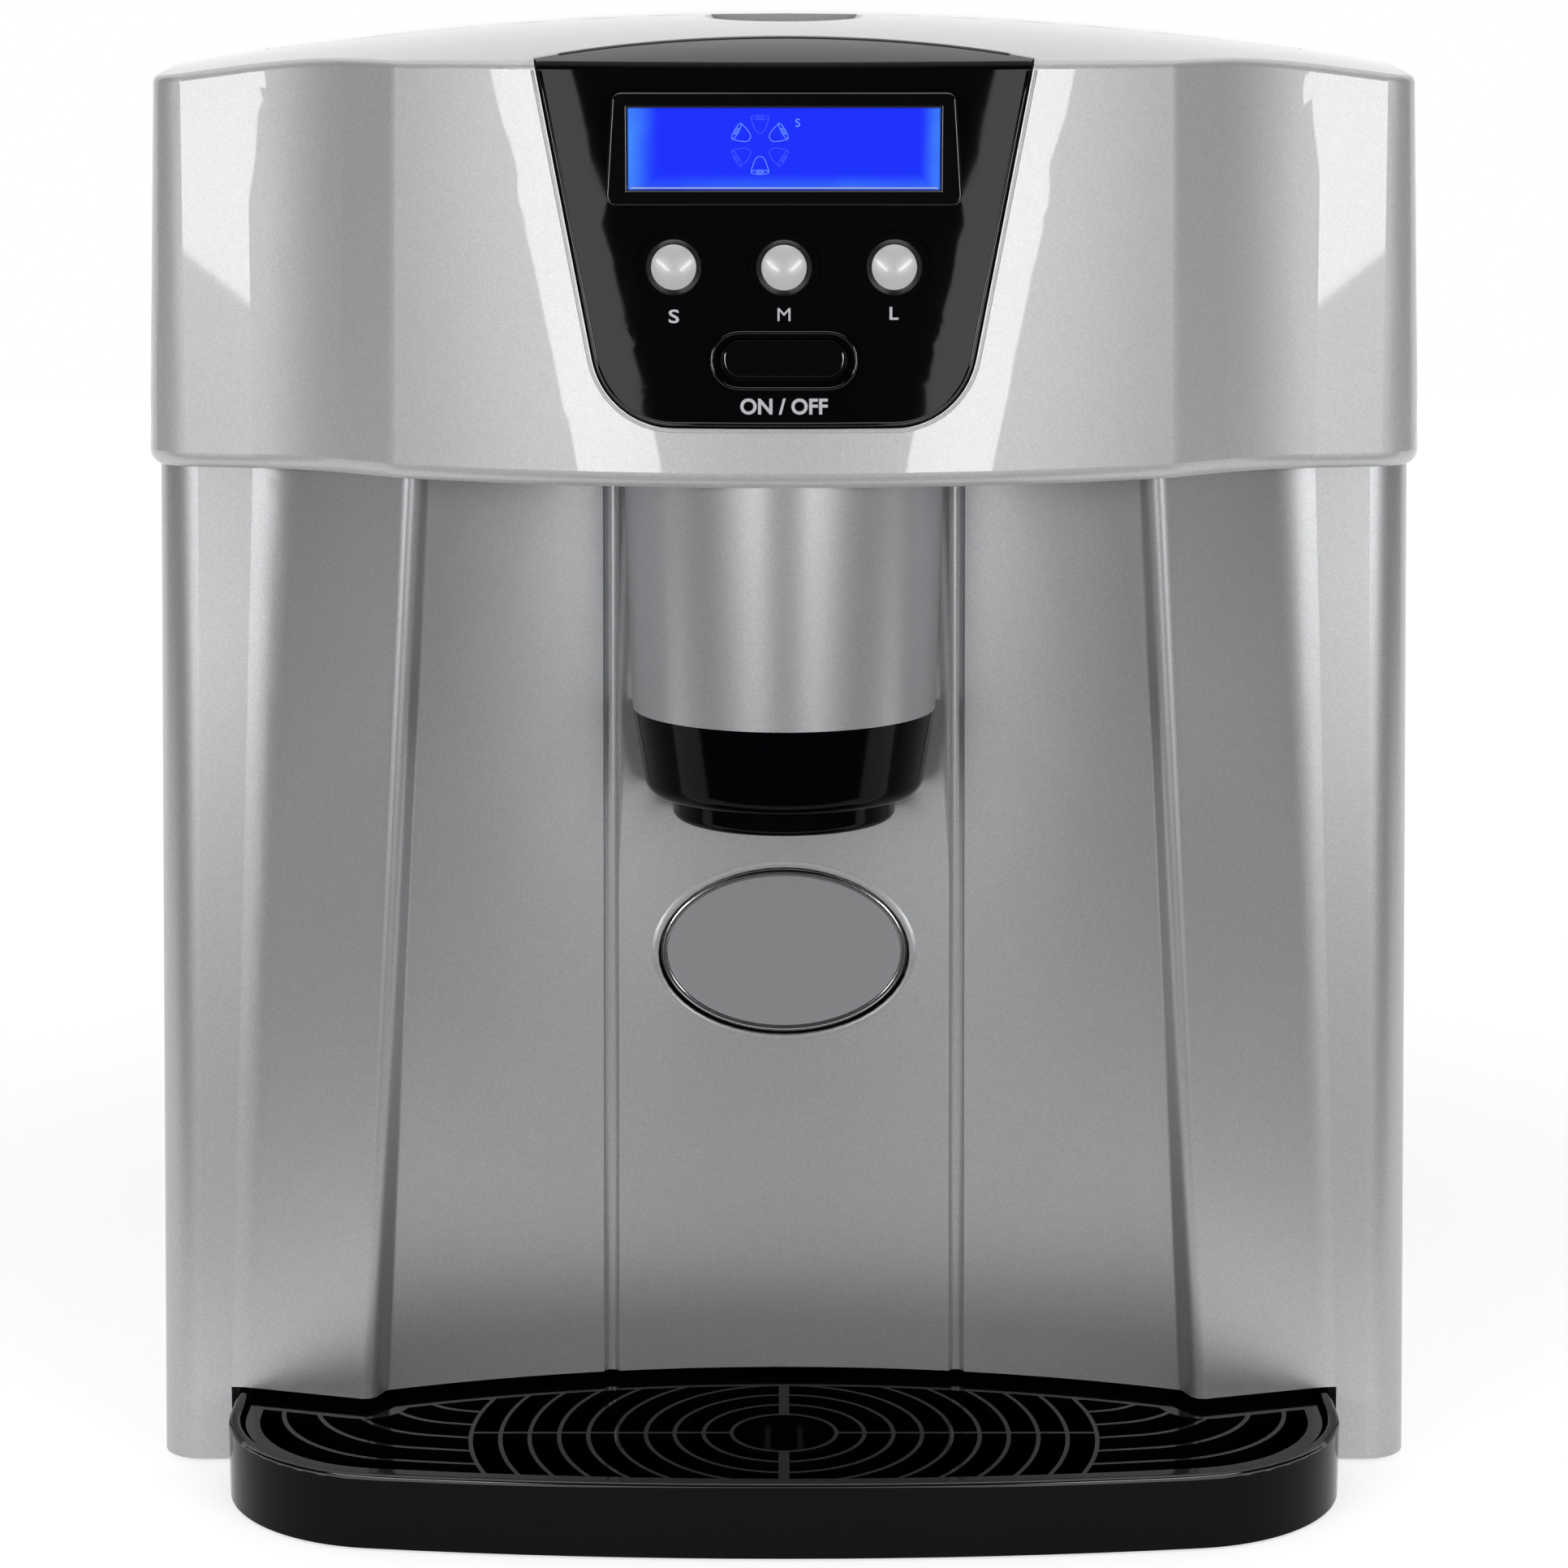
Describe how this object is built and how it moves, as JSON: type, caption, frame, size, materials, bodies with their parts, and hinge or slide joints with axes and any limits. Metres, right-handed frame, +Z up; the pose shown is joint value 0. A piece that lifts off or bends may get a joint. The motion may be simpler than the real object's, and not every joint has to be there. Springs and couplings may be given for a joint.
{
  "type": "ice cube maker",
  "caption": "Table-top ice cube maker with a hinged lid, control panel, water spout with push lever, drip tray with grille, ice basket and cooling circuit.",
  "frame": {"origin": "centre of the bounding box at the base, on the floor plane that the feet stand on", "axes": "+Z up, -Y towards the user (control panel, spout and drip tray), +X to the right seen from the back, X = 0 is the mirror plane of the outside"},
  "size_m": [0.362, 0.43, 0.415],
  "materials": {
    "silver_body": "satin silver lacquer",
    "silver_head": "gloss silver lacquer with a fine flake",
    "black_gloss": "gloss",
    "black_matte": "fine grain",
    "chrome_trim": "bright",
    "lever_grey": "satin",
    "display_glass": "blue lit display window",
    "display_works": "moulded case",
    "white_plastic": "moulded, food grade",
    "clear_plastic": "milky",
    "foam": "closed cell foam",
    "rubber": "matte",
    "hose": "silicone",
    "sheet_steel": "zinc plated",
    "steel": "plain",
    "nickel": "plated",
    "black_steel": "black enamel",
    "fin_aluminium": "plain",
    "copper": "copper tube",
    "green_board": "lacquered board"
  },
  "bodies": {
    "cabinet": {"base_pan": "black_steel", "cabinet_shell": "silver_body", "chamber_insulation": "foam", "chamber_liner": "white_plastic", "compressor": "black_steel", "compressor_grommets": "rubber", "condenser": "fin_aluminium", "control_board": "green_board", "control_panel": "black_gloss", "cord_gland": "black_matte", "dispense_hose": "hose", "dispense_valve": "white_plastic", "display_bezel": "black_gloss", "display_lens": "display_glass", "display_module": "display_works", "drain_spout": "black_matte", "evaporator": "nickel", "fan_motor": "black_matte", "fan_shroud": "sheet_steel", "filter_drier": "copper", "head_shell": "silver_head", "head_soffit": "silver_head", "ice_ramp": "white_plastic", "ice_sensors": "display_works", "lever_bracket": "black_matte", "lever_pin": "steel", "lever_switch": "black_matte", "lid_hinge_pins": "steel", "outlet_ring": "black_gloss", "power_board": "green_board", "pump_hose": "hose", "rear_panel": "sheet_steel", "rear_screws": "steel", "refrigerant_lines": "copper", "rubber_feet": "rubber", "shovel_brackets": "white_plastic", "spout_collar": "black_gloss", "spout_housing": "silver_body", "tank_hose": "hose", "tank_strainer": "white_plastic", "tray_bearing": "white_plastic", "tray_motor": "white_plastic", "water_nozzle": "hose", "water_pump": "black_matte"},
    "lid": {"lid_cover": "silver_head", "lid_liner": "white_plastic"},
    "small_button": {"button_small": "chrome_trim"},
    "medium_button": {"button_medium": "chrome_trim"},
    "large_button": {"button_large": "chrome_trim"},
    "power_key": {"power_button": "black_gloss"},
    "lever": {"dispense_lever": "chrome_trim", "lever_face": "lever_grey"},
    "tray": {"drip_tray": "black_gloss"},
    "grille": {"drip_grille": "black_gloss"},
    "basket": {"ice_basket": "white_plastic"},
    "water_dish": {"water_tray": "white_plastic"},
    "shovel": {"ice_shovel": "white_plastic"},
    "fan": {"fan_blades": "black_matte"},
    "plug": {"drain_plug": "rubber"}
  },
  "joints": [
    {"name": "lid_hinge", "type": "hinge", "parent": "cabinet", "child": "lid", "pos_m": [0, 0.13, 0.406], "axis": [-1, 0, 0], "range_deg": [0, 95]},
    {"name": "small_press", "type": "slide", "parent": "cabinet", "child": "small_button", "axis": [0, 1, 0], "range_m": [0, 0.0015], "stiffness_N_per_m": 900, "springref_m": -0.0005},
    {"name": "medium_press", "type": "slide", "parent": "cabinet", "child": "medium_button", "axis": [0, 1, 0], "range_m": [0, 0.0015], "stiffness_N_per_m": 900, "springref_m": -0.0005},
    {"name": "large_press", "type": "slide", "parent": "cabinet", "child": "large_button", "axis": [0, 1, 0], "range_m": [0, 0.0015], "stiffness_N_per_m": 900, "springref_m": -0.0005},
    {"name": "power_press", "type": "slide", "parent": "cabinet", "child": "power_key", "axis": [0, 1, 0], "range_m": [0, 0.0015], "stiffness_N_per_m": 900, "springref_m": -0.0005},
    {"name": "lever_push", "type": "hinge", "parent": "cabinet", "child": "lever", "pos_m": [0, -0.1125, 0.197], "axis": [1, 0, 0], "range_deg": [0, 6], "stiffness_Nm_per_rad": 0.6, "springref_deg": -5.73},
    {"name": "tray_slide", "type": "slide", "parent": "cabinet", "child": "tray", "axis": [0, -1, 0], "range_m": [0, 0.12]},
    {"name": "grille_lift", "type": "slide", "parent": "tray", "child": "grille", "axis": [0, 0, 1], "range_m": [0, 0.03]},
    {"name": "basket_lift", "type": "slide", "parent": "cabinet", "child": "basket", "axis": [0, 0, 1], "range_m": [0, 0.12]},
    {"name": "dish_tilt", "type": "hinge", "parent": "cabinet", "child": "water_dish", "pos_m": [0, 0.085, 0.352], "axis": [1, 0, 0], "range_deg": [0, 50]},
    {"name": "shovel_swing", "type": "hinge", "parent": "cabinet", "child": "shovel", "pos_m": [0, 0.021, 0.373], "axis": [-1, 0, 0], "range_deg": [0, 40]},
    {"name": "fan_spin", "type": "hinge", "parent": "cabinet", "child": "fan", "pos_m": [0.131, 0.116, 0.069], "axis": [1, 0, 0], "continuous": true},
    {"name": "plug_pull", "type": "slide", "parent": "cabinet", "child": "plug", "axis": [0, 1, 0], "range_m": [0, 0.03]}
  ],
  "couplings": [
    {"joint": "shovel_swing", "follows": "dish_tilt", "ratio": 0.8}
  ]
}
